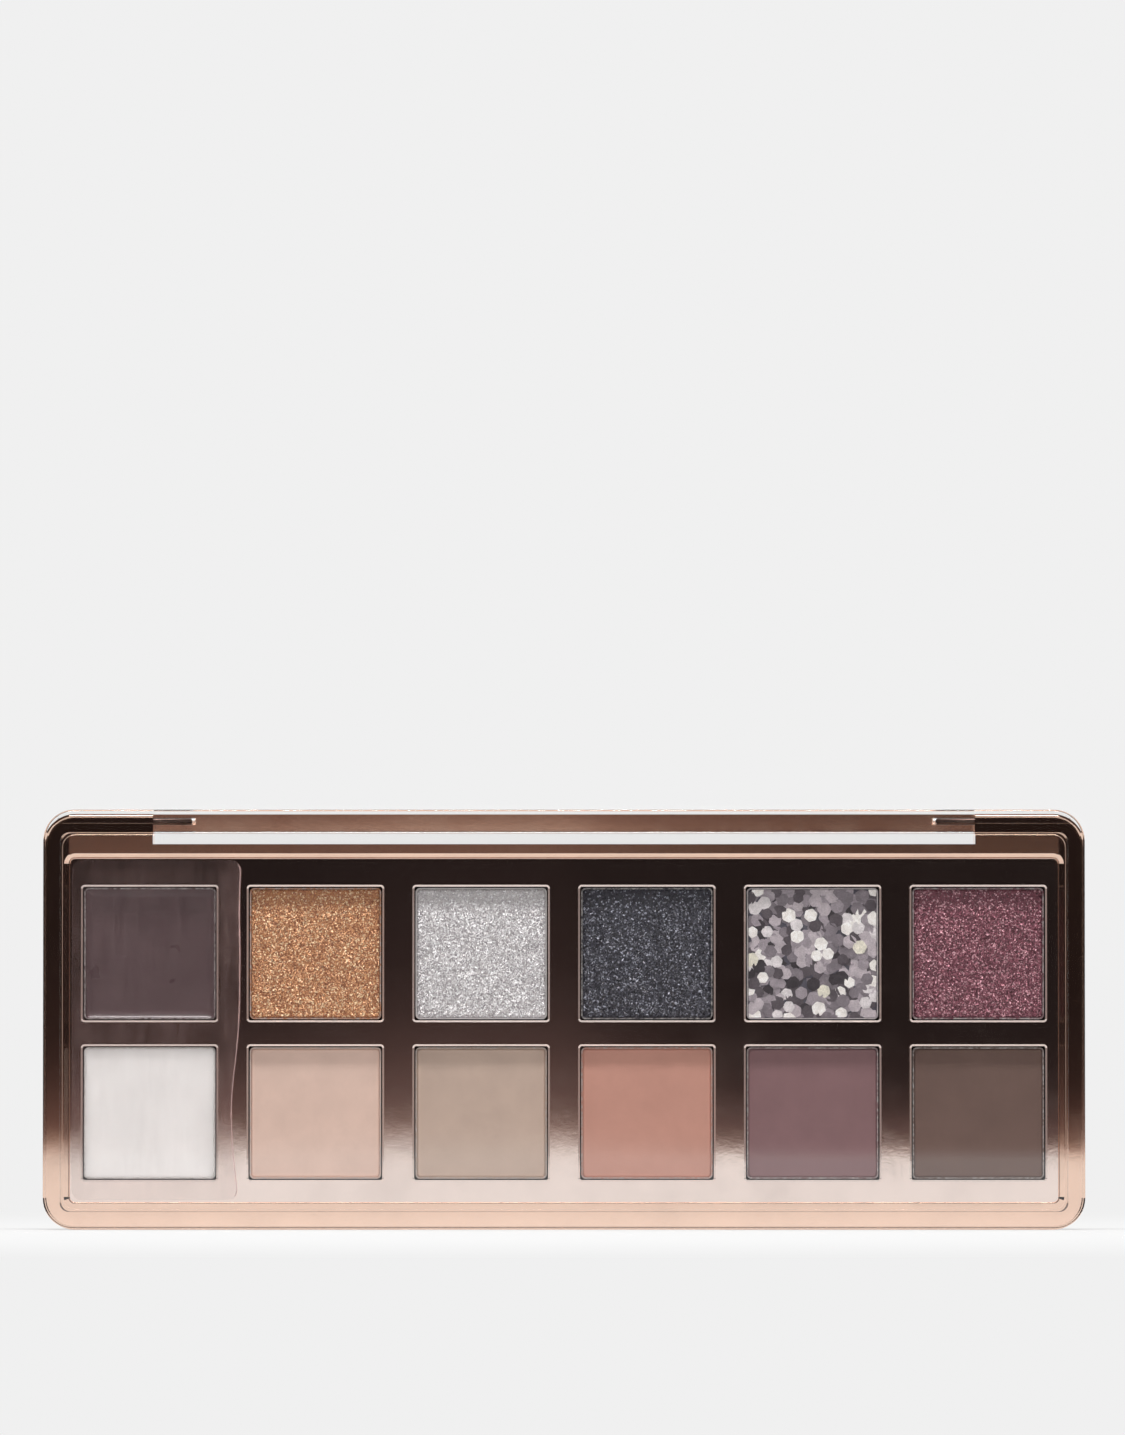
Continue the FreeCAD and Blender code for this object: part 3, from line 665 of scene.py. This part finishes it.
def round_corner(x, z, half, radius):
    """Moves a point of a square grid so that its rings have round corners."""
    reach = max(abs(x), abs(z))
    corner = radius * reach / half
    inner = reach - corner
    over_x = abs(x) - inner
    over_z = abs(z) - inner
    if over_x <= 0 or over_z <= 0:
        return x, z
    share = corner / math.hypot(over_x, over_z)
    return math.copysign(inner + over_x * share, x), math.copysign(inner + over_z * share, z)


def edge_drop(inset, radius):
    """How far a rounded edge falls back at a distance from the side."""
    if inset >= radius:
        return 0.0
    run = radius - inset
    return radius - math.sqrt(max(0.0, radius * radius - run * run))


def boundary(columns, rows):
    """The outermost points of a grid in order, anticlockwise as seen from the front."""
    ring = [(i, 0) for i in range(columns)]
    ring += [(columns - 1, j) for j in range(1, rows)]
    ring += [(i, rows - 1) for i in range(columns - 2, -1, -1)]
    ring += [(0, j) for j in range(rows - 2, 0, -1)]
    return ring


def cake_mesh(name, node, material, step, relief, setback=0.0, edge=CAKE_EDGE):
    """A closed cake that fills its pan: a shaped front, a rounded edge, sides and a flat back."""
    low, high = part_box(node)
    half = (high.x - low.x) / 2
    centre_x = (low.x + high.x) / 2
    centre_z = (low.z + high.z) / 2
    front = low.y + setback
    lines = grid_lines(half, CAKE_EDGE, step)
    count = len(lines)
    points = []
    for x in lines:
        for z in lines:
            inset = half - max(abs(x), abs(z))
            px, pz = round_corner(x, z, half, CAKE_CORNER)
            y = front + edge_drop(inset, edge) + relief(px, pz, inset)
            points.append((centre_x + px, y, centre_z + pz))
    faces = []
    for i in range(count - 1):
        for j in range(count - 1):
            corner = i * count + j
            faces.append((corner, corner + count, corner + count + 1, corner + 1))
    ring = [i * count + j for i, j in boundary(count, count)]
    back = []
    for index in ring:
        back.append(len(points))
        points.append((points[index][0], high.y, points[index][2]))
    for index in range(len(ring)):
        after = (index + 1) % len(ring)
        faces.append((ring[index], back[index], back[after], ring[after]))
    faces.append(tuple(reversed(back)))
    set_piece(mesh_object(name, points, faces, [material]), node)


def noise_shift(seed, stride):
    """Where in the noise a seed's relief starts."""
    return Vector([seed * length for length in stride])


def rough_face(seed, wave, depth, grain, tooth):
    """Relief of a pressed face: a gentle unevenness and a finer tooth that fades out along the edge."""
    shift = noise_shift(seed, PRESSED_STRIDE)

    def relief(x, z, inset):
        soft = noise.noise(Vector((x / wave, z / wave, 0.0)) + shift)
        fine = noise.noise(Vector((x / grain, z / grain, TOOTH_LEVEL)) + shift)
        return depth * soft + tooth * fine * min(1.0, inset / CAKE_EDGE)

    return relief


def poured_face(seed, rise, reach, wave, depth):
    """Relief of a poured cream: a shallow dish that climbs to the pan's wall."""
    shift = noise_shift(seed, POURED_STRIDE)

    def relief(x, z, inset):
        climb = rise * max(0.0, 1.0 - inset / reach) ** 2
        soft = noise.noise(Vector((x / wave, z / wave, 0.0)) + shift)
        return rise - climb + depth * soft

    return relief


# Case

def well_shade_start():
    """Where the painted shade inside the platform's wells starts, along its own Y."""
    place = Vector((0.0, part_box("pan_platform")[0].y + WELL_SHADE_DEPTH, 0.0))
    return (NODES["pan_platform"].matrix_world.inverted() @ place).y


rose_gold = mirror_metal("rose_gold_mirror", FRAME_TINT, gloss=0.02, haze=0.04, peel_depth=0.0004 * MM)
platform_gold = mirror_metal(
    "rose_gold_platform",
    PLATFORM_TINT,
    gloss=0.02,
    haze=0.045,
    peel_depth=0.0006 * MM,
    shade_from=well_shade_start(),
)
dress("base_frame", rose_gold)
dress("bottom_cover", rose_gold)
dress("pan_platform", platform_gold)
dress("pan_glue", hot_melt("hot_melt"))
dress("lid", clear_plastic("clear_lid"))


def pin_mesh(name, node, finish):
    """A round pin along X with blunted ends."""
    low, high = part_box(node)
    centre = (low + high) / 2
    rings = (
        (low.x, PIN_RADIUS - PIN_BLUNT),
        (low.x + PIN_BLUNT, PIN_RADIUS),
        (high.x - PIN_BLUNT, PIN_RADIUS),
        (high.x, PIN_RADIUS - PIN_BLUNT),
    )
    points = []
    for x, radius in rings:
        for side in range(PIN_SIDES):
            turn = 2 * math.pi * side / PIN_SIDES
            points.append((x, centre.y + radius * math.cos(turn), centre.z + radius * math.sin(turn)))
    faces = [tuple(reversed(range(PIN_SIDES)))]
    for ring in range(len(rings) - 1):
        for side in range(PIN_SIDES):
            here = ring * PIN_SIDES + side
            after = ring * PIN_SIDES + (side + 1) % PIN_SIDES
            faces.append((here, after, after + PIN_SIDES, here + PIN_SIDES))
    last = (len(rings) - 1) * PIN_SIDES
    faces.append(tuple(last + side for side in range(PIN_SIDES)))
    set_piece(mesh_object(name, points, faces, [finish]), node)


steel = drawn_metal("pin_steel", DARKENED_PIN_TINT, gloss=0.22, haze=0.36, grain=(200.0, 4000.0, 4000.0))
for side in ("left", "right"):
    pin_mesh(f"steel_pin_{side}", f"hinge_pin_{side}", steel)

# Matte powders of the front row
MATTES = {
    "shade_bottom_2": dict(label="beige_pink_matte", colour=linear("d6b9ab")),
    "shade_bottom_3": dict(label="taupe_matte", colour=linear("baa496")),
    "shade_bottom_4": dict(label="salmon_matte", colour=linear("bd8c7d")),
    "shade_bottom_5": dict(label="mauve_matte", colour=linear("806264")),
    "shade_bottom_6": dict(label="brown_matte", colour=linear("69544d")),
}
for seed, (node, look) in enumerate(MATTES.items(), FIRST_MATTE_SEED):
    cake_mesh(
        look["label"],
        node,
        matte_powder(look["label"], node, look["colour"]),
        MATTE_STEP,
        rough_face(seed, wave=6.5 * MM, depth=0.02 * MM, grain=0.9 * MM, tooth=0.006 * MM),
    )

# Creams under the film: the dish in the face, its reach from the wall, and how proud of the solid it is
CREAMS = {
    "shade_top_1": dict(
        label="aubergine_cream",
        colour=linear("4f3b3e"),
        gloss=0.26,
        haze=0.38,
        glow=0.0,
        dish=0.55 * MM,
        reach=1.2 * MM,
        proud=0.0,
    ),
    "shade_bottom_1": dict(
        label="white_cream",
        colour=linear("f8f5f3"),
        gloss=0.38,
        haze=0.5,
        glow=1.0,
        dish=0.2 * MM,
        reach=2.6 * MM,
        proud=0.5 * MM,
    ),
}
for seed, (node, look) in enumerate(CREAMS.items(), FIRST_CREAM_SEED):
    cake_mesh(
        look["label"],
        node,
        cream_shade(look["label"], look["colour"], look["gloss"], look["haze"], look["glow"]),
        CREAM_STEP,
        poured_face(seed, look["dish"], look["reach"], wave=8 * MM, depth=0.02 * MM),
        setback=-look["proud"],
        edge=CREAM_EDGE,
    )

# Shimmer powders of the rear row: their light tone is painted light on the grains that lean up, and their
# glint colour is painted glints
SHIMMERS = {
    "shade_top_2": dict(
        name="copper_shimmer",
        dark=linear("844834"),
        mid=linear("ab704b"),
        light=linear("d09a6c"),
        glint=linear("f4d8b0"),
        painted_glint_share=0.22,
        grain=7600.0,
        tilt=1.7,
        metal=0.3,
        gloss=0.34,
    ),
    "shade_top_3": dict(
        name="silver_shimmer",
        dark=linear("a8a2a4"),
        mid=linear("c3bebf"),
        light=linear("d8d5d6"),
        glint=linear("fbfafb"),
        painted_glint_share=0.2,
        grain=6600.0,
        tilt=1.7,
        metal=0.25,
        gloss=0.38,
    ),
    "shade_top_4": dict(
        name="navy_sparkle",
        dark=linear("222228"),
        mid=linear("2d2c35"),
        light=linear("3d3d47"),
        glint=linear("9a9ca8"),
        painted_glint_share=0.16,
        grain=5600.0,
        tilt=1.6,
        metal=0.25,
        gloss=0.38,
    ),
    "shade_top_6": dict(
        name="plum_shimmer",
        dark=linear("4c242e"),
        mid=linear("673642"),
        light=linear("864c59"),
        glint=linear("d0a0a8"),
        painted_glint_share=0.2,
        grain=6000.0,
        tilt=1.5,
        metal=0.3,
        gloss=0.34,
    ),
}
for seed, (node, look) in enumerate(SHIMMERS.items(), FIRST_SHIMMER_SEED):
    cake_mesh(
        look["name"],
        node,
        shimmer_powder(**look),
        SHIMMER_STEP,
        rough_face(seed, wave=5 * MM, depth=0.025 * MM, grain=0.5 * MM, tooth=0.03 * MM),
    )

# Tones of the glitter: the weights say how often a plate of the lower and of the upper layer has the tone
GLITTER_TONES = {
    "pale_lavender": dict(colour=linear("beb3b8"), metal=0.3, gloss=0.36, weights=(2, 5)),
    "lavender": dict(colour=linear("a0969c"), metal=0.3, gloss=0.36, weights=(4, 5)),
    "deep_lavender": dict(colour=linear("837a80"), metal=0.3, gloss=0.36, weights=(4, 4)),
    "charcoal": dict(colour=linear("5e565b"), metal=0.3, gloss=0.34, weights=(3, 4)),
    "deep_charcoal": dict(colour=linear("443e42"), metal=0.3, gloss=0.34, weights=(1, 2)),
    "cream": dict(colour=linear("eee8e3"), metal=0.1, gloss=0.42, weights=(0, 4)),
    "yellow_cream": dict(colour=linear("dcd6c6"), metal=0.1, gloss=0.42, weights=(0, 1)),
    "grey_cream": dict(colour=linear("d6cfd0"), metal=0.1, gloss=0.42, weights=(0, 3)),
}

# Layers of plates, the lower one first: how many, and the radius of the smallest and of the largest
PLATE_LAYERS = (
    dict(count=240, smallest=0.8 * MM, largest=1.15 * MM),
    dict(count=150, smallest=0.92 * MM, largest=1.24 * MM),
)


def plate_outline(radius):
    """A six-sided outline with blunted corners, anticlockwise as seen from the front."""
    outline = []
    for side in range(PLATE_SIDES):
        here = 2 * math.pi * side / PLATE_SIDES
        after = 2 * math.pi * (side + 1) / PLATE_SIDES
        start = Vector((math.cos(here), 0.0, math.sin(here))) * radius
        end = Vector((math.cos(after), 0.0, math.sin(after))) * radius
        outline.append(start.lerp(end, PLATE_BLUNT))
        outline.append(start.lerp(end, 1.0 - PLATE_BLUNT))
    return outline


def glitter_plates(finishes):
    """Plates strewn over the bed in layers, and cut off straight at the pan's wall."""
    low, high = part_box(GLITTER_NODE)
    half = (high.x - low.x) / 2 - WALL_CLEARANCE
    centre = Vector(((low.x + high.x) / 2, 0.0, (low.z + high.z) / 2))
    draw = random.Random(GLITTER_SEED)
    points = []
    faces = []
    slots = []

    def free_spot(taken):
        """The one of a few random places that is furthest from those taken."""
        best = None
        for _ in range(PLATE_TRIES):
            spot = Vector((draw.uniform(-half, half), 0.0, draw.uniform(-half, half)))
            room = min(((spot - other).length for other in taken), default=1.0)
            if best is None or room > best[0]:
                best = (room, spot)
        return best[1]

    def add_plate(layer, slot, spot, radius):
        """One plate at a random lean, turn and level within its layer."""
        lean = Euler(
            (
                draw.uniform(-PLATE_LEAN, PLATE_LEAN),
                draw.uniform(0.0, 2 * math.pi / PLATE_SIDES),
                draw.uniform(-PLATE_LEAN, PLATE_LEAN),
            )
        ).to_matrix()
        level = low.y + BED_SETBACK - PLATE_STACK * (layer + draw.random())
        outline = plate_outline(radius)
        first = len(points)
        for depth in (0.0, PLATE_THICKNESS):
            for corner in outline:
                place = lean @ (corner + Vector((0.0, depth, 0.0))) + spot
                x = max(-half, min(half, place.x))
                z = max(-half, min(half, place.z))
                points.append((centre.x + x, level + place.y, centre.z + z))
        count = len(outline)
        faces.append(tuple(first + index for index in range(count)))
        faces.append(tuple(first + count + index for index in reversed(range(count))))
        for index in range(count):
            after = (index + 1) % count
            faces.append((first + index, first + count + index, first + count + after, first + after))
        slots.extend([slot] * (count + 2))

    for layer, plates in enumerate(PLATE_LAYERS):
        weights = [tone["weights"][layer] for tone in GLITTER_TONES.values()]
        taken = []
        for _ in range(plates["count"]):
            spot = free_spot(taken)
            taken.append(spot)
            slot = draw.choices(range(len(weights)), weights)[0]
            add_plate(layer, slot, spot, draw.uniform(plates["smallest"], plates["largest"]))
    piece = mesh_object("glitter_plates", points, faces, finishes, slots)
    piece.data.shade_flat()
    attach(piece, "base")


cake_mesh(
    "glitter_bed",
    GLITTER_NODE,
    glitter_plate("glitter_bed", linear(BED_COLOUR), metal=0.2, gloss=0.5),
    MATTE_STEP,
    rough_face(BED_SEED, wave=3 * MM, depth=0.03 * MM, grain=0.8 * MM, tooth=0.02 * MM),
    setback=BED_SETBACK,
)
plate_finishes = [
    glitter_plate(f"glitter_{label}", tone["colour"], tone["metal"], tone["gloss"])
    for label, tone in GLITTER_TONES.items()
]
glitter_plates(plate_finishes)

# Pans, dusted with their own shade
pan_dust = {node: look["colour"] for node, look in {**MATTES, **CREAMS}.items()}
pan_dust.update({node: look["mid"] for node, look in SHIMMERS.items()})
pan_dust[GLITTER_NODE] = GLITTER_TONES["lavender"]["colour"]
for node, colour in pan_dust.items():
    pan = node.replace("shade", "pan")
    dress(pan, dusted_metal(f"{pan}_metal", ALUMINIUM_TINT, shade(colour, DUST_LIGHTENING)))


# Film over the creams

def drift_along(z, length, place):
    """Noise that changes slowly along the film's height."""
    return noise.noise(Vector((place[0], z / length, place[1])))


def film_lift(x, z, free_side):
    """How far the film stands off the platform: faint waves, and a curl along its free edge."""
    lift = 0.0
    for wave in FILM_WAVES:
        height = noise.noise(Vector((x / wave["across"], z / wave["along"], wave["level"])))
        lift += wave["rise"] * (height + 1.0)
    inset = free_side - x
    if inset < FILM_CURL_WIDTH:
        share = 1.0 - inset / FILM_CURL_WIDTH
        curl = FILM_CURL_MEAN + FILM_CURL_SWING * drift_along(z, **FILM_CURL_DRIFT)
        lift += FILM_CURL_RISE * share * share * max(0.0, curl)
    return lift


def film_edge(z):
    """How far the free edge is moved: it wanders along its length, and draws in towards the front."""
    waist = FILM_WAIST * math.exp(-(((z - FILM_WAIST_HEIGHT) / FILM_WAIST_REACH) ** 2))
    return FILM_EDGE_WANDER * drift_along(z, **FILM_EDGE_DRIFT) - FILM_EDGE_INSET - waist


def film_corner(x, z, middle, half):
    """Moves a point of the film's grid so that its outline has round corners."""
    over_x = abs(x - middle.x) - half.x + FILM_CORNER
    over_z = abs(z - middle.z) - half.z + FILM_CORNER
    if over_x <= 0 or over_z <= 0:
        return x, z
    pull = 1.0 - max(over_x, over_z) / math.hypot(over_x, over_z)
    return x - math.copysign(over_x * pull, x - middle.x), z - math.copysign(over_z * pull, z - middle.z)


def film_mesh(face_finish, lip_finish):
    """A thin closed sheet with a hazier lip along its free edge."""
    low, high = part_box(FILM_NODE)
    middle = (low + high) / 2
    size = high - low
    steps = math.ceil(size.x / FILM_STEP)
    shares = [step / steps for step in range(steps)]
    shares += [1.0 - FILM_LIP / size.x, 1.0]
    columns = len(shares)
    rows = math.ceil(size.z / FILM_STEP) + 1
    points = []
    for depth in (0.0, FILM_SHEET):
        for along in shares:
            for j in range(rows):
                x = low.x + size.x * along
                z = low.z + size.z * j / (rows - 1)
                x, z = film_corner(x, z, middle, size / 2)
                x += film_edge(z) * along ** FILM_EDGE_POWER
                y = high.y - FILM_SHEET + depth - film_lift(x, z, high.x)
                points.append((x, y, z))
    faces = []
    slots = []
    layer = columns * rows
    for i in range(columns - 1):
        slot = 1 if i == columns - 2 else 0
        for j in range(rows - 1):
            corner = i * rows + j
            front = (corner, corner + rows, corner + rows + 1, corner + 1)
            faces.append(front)
            faces.append(tuple(layer + index for index in reversed(front)))
            slots += [slot, slot]
    ring = [i * rows + j for i, j in boundary(columns, rows)]
    for index in range(len(ring)):
        here = ring[index]
        after = ring[(index + 1) % len(ring)]
        faces.append((here, here + layer, after + layer, after))
    slots += [0] * len(ring)
    piece = mesh_object("film_over_creams", points, faces, [face_finish, lip_finish], slots)
    set_piece(piece, FILM_NODE)


film_mesh(thin_film("clear_film", FILM_HAZE), thin_film("clear_film_lip", LIP_HAZE))


# Studio

def plain_glow(name, tone):
    """An even surface that shines with its own tone."""
    material, tree = new_material(name)
    set_surface(tree, emission(tree, tone))
    return material


def floor_material():
    """Pale floor that keeps the soft shadow round the case."""
    material, tree = new_material("studio_floor")
    distance = vector_maths(tree, "LENGTH", object_coords(tree))
    even = spread(tree, distance, SHADOW_START, SHADOW_REACH, 1.0 - SHADOW_SHARE, 1.0)
    share = maths(tree, "MULTIPLY", even, seen_rays(tree))
    matte = add_node(tree, "ShaderNodeBsdfDiffuse", {"Color": FLOOR_COLOUR}).outputs["BSDF"]
    set_surface(tree, mixed_shader(tree, share, matte, emission(tree, PALE)))
    return material


def wall_material():
    """Dark studio wall, paler near the floor and most so left of the middle."""
    material, tree = new_material("dark_wall")
    place = axes(tree, object_coords(tree))
    left = spread(tree, place["X"], **MOUND_LEFT)
    right = spread(tree, place["X"], **MOUND_RIGHT)
    rise = maths(tree, "MULTIPLY", place["Z"], maths(tree, "MAXIMUM", left, right))
    height = spread(tree, rise, low=0.0, high=WALL_FADE, out_low=0.0, out_high=1.0)
    glow = add_node(tree, "ShaderNodeEmission", {"Strength": 1.0})
    tree.links.new(ramp(tree, height, WALL_TONES), glow.inputs["Color"])
    set_surface(tree, glow.outputs["Emission"])
    return material


def only_reflected(panel):
    """Hides a panel from all but reflections and glass."""
    panel.visible_camera = False
    panel.visible_diffuse = False
    panel.visible_shadow = False


def level_panel(name, half_width, front, back, height, material):
    """A flat rectangle at a height."""
    corners = [
        (-half_width, front, height),
        (half_width, front, height),
        (half_width, back, height),
        (-half_width, back, height),
    ]
    panel = mesh_object(name, corners, [tuple(range(len(corners)))], [material])
    return panel


def dark_wall():
    """A curved wall round the front with greyer ends, which only reflections and glass show."""
    points = []
    faces = []
    slots = []
    for step in range(WALL_STEPS + 1):
        turn = WALL_REACH * (2 * step / WALL_STEPS - 1)
        place = (WALL_RADIUS * math.sin(turn), -WALL_RADIUS * math.cos(turn))
        points.append((*place, -FLOOR_DROP))
        points.append((*place, WALL_HEIGHT))
    for step in range(WALL_STEPS):
        first = 2 * step
        faces.append((first, first + 1, first + 3, first + 2))
        turn = WALL_REACH * ((2 * step + 1) / WALL_STEPS - 1)
        slots.append(0 if abs(turn) < WALL_DARK_REACH else 1)
    finishes = [wall_material(), plain_glow("side_wall", SIDE_TONE)]
    wall = mesh_object("dark_wall", points, faces, finishes, slots)
    only_reflected(wall)


def soft_lamp(name, place, width, depth, power):
    """A rectangular lamp that points at the case."""
    lamp = bpy.data.lights.new(name, "AREA")
    lamp.shape = "RECTANGLE"
    lamp.size = width
    lamp.size_y = depth
    lamp.energy = power
    holder = bpy.data.objects.new(name, lamp)
    holder.location = place
    holder.rotation_euler = (Vector(LAMP_TARGET) - Vector(place)).to_track_quat("-Z", "Y").to_euler()
    bpy.context.scene.collection.objects.link(holder)
    return holder


def pale_world():
    """Even light from all round, and a pale background where it shows."""
    world = bpy.data.worlds.new("studio")
    world.use_nodes = True
    tree = world.node_tree
    tree.nodes.clear()
    ambient = add_node(tree, "ShaderNodeBackground", {"Color": WHITE, "Strength": AMBIENT})
    seen = add_node(tree, "ShaderNodeBackground", {"Color": PALE, "Strength": 1.0})
    light = mixed_shader(
        tree, seen_rays(tree), ambient.outputs["Background"], seen.outputs["Background"]
    )
    set_surface(tree, light, "ShaderNodeOutputWorld")
    bpy.context.scene.world = world


def front_camera():
    """The camera, at the photograph's viewing angle."""
    data = bpy.data.cameras.new("camera")
    data.sensor_width = SENSOR
    data.lens = SENSOR * CAMERA_DISTANCE / IMAGE_HEIGHT_AT_CASE
    camera = bpy.data.objects.new("camera", data)
    camera.location = (IMAGE_CENTRE_X, cad_box[0].y - CAMERA_DISTANCE, CAMERA_HEIGHT)
    pitch = math.atan((IMAGE_CENTRE_Z - CAMERA_HEIGHT) / CAMERA_DISTANCE)
    camera.rotation_euler = (math.pi / 2 + pitch, 0.0, 0.0)
    bpy.context.scene.collection.objects.link(camera)
    bpy.context.scene.camera = camera


level_panel("studio_floor", FLOOR_HALF_WIDTH, FLOOR_FRONT, FLOOR_BACK, -FLOOR_DROP, floor_material())
dark_wall()
ceiling = level_panel(
    "dark_ceiling",
    CEILING_HALF_WIDTH,
    CEILING_FRONT,
    CEILING_BACK,
    CEILING_HEIGHT,
    plain_glow("dark_ceiling", CEILING_TONE),
)
only_reflected(ceiling)
ceiling.visible_transmission = False
soft_lamp("key_strip", **KEY_STRIP)
fill = soft_lamp("front_fill", **FRONT_FILL)
fill.visible_glossy = False
fill.visible_transmission = False
pale_world()
front_camera()
bpy.context.scene.view_settings.view_transform = "Standard"
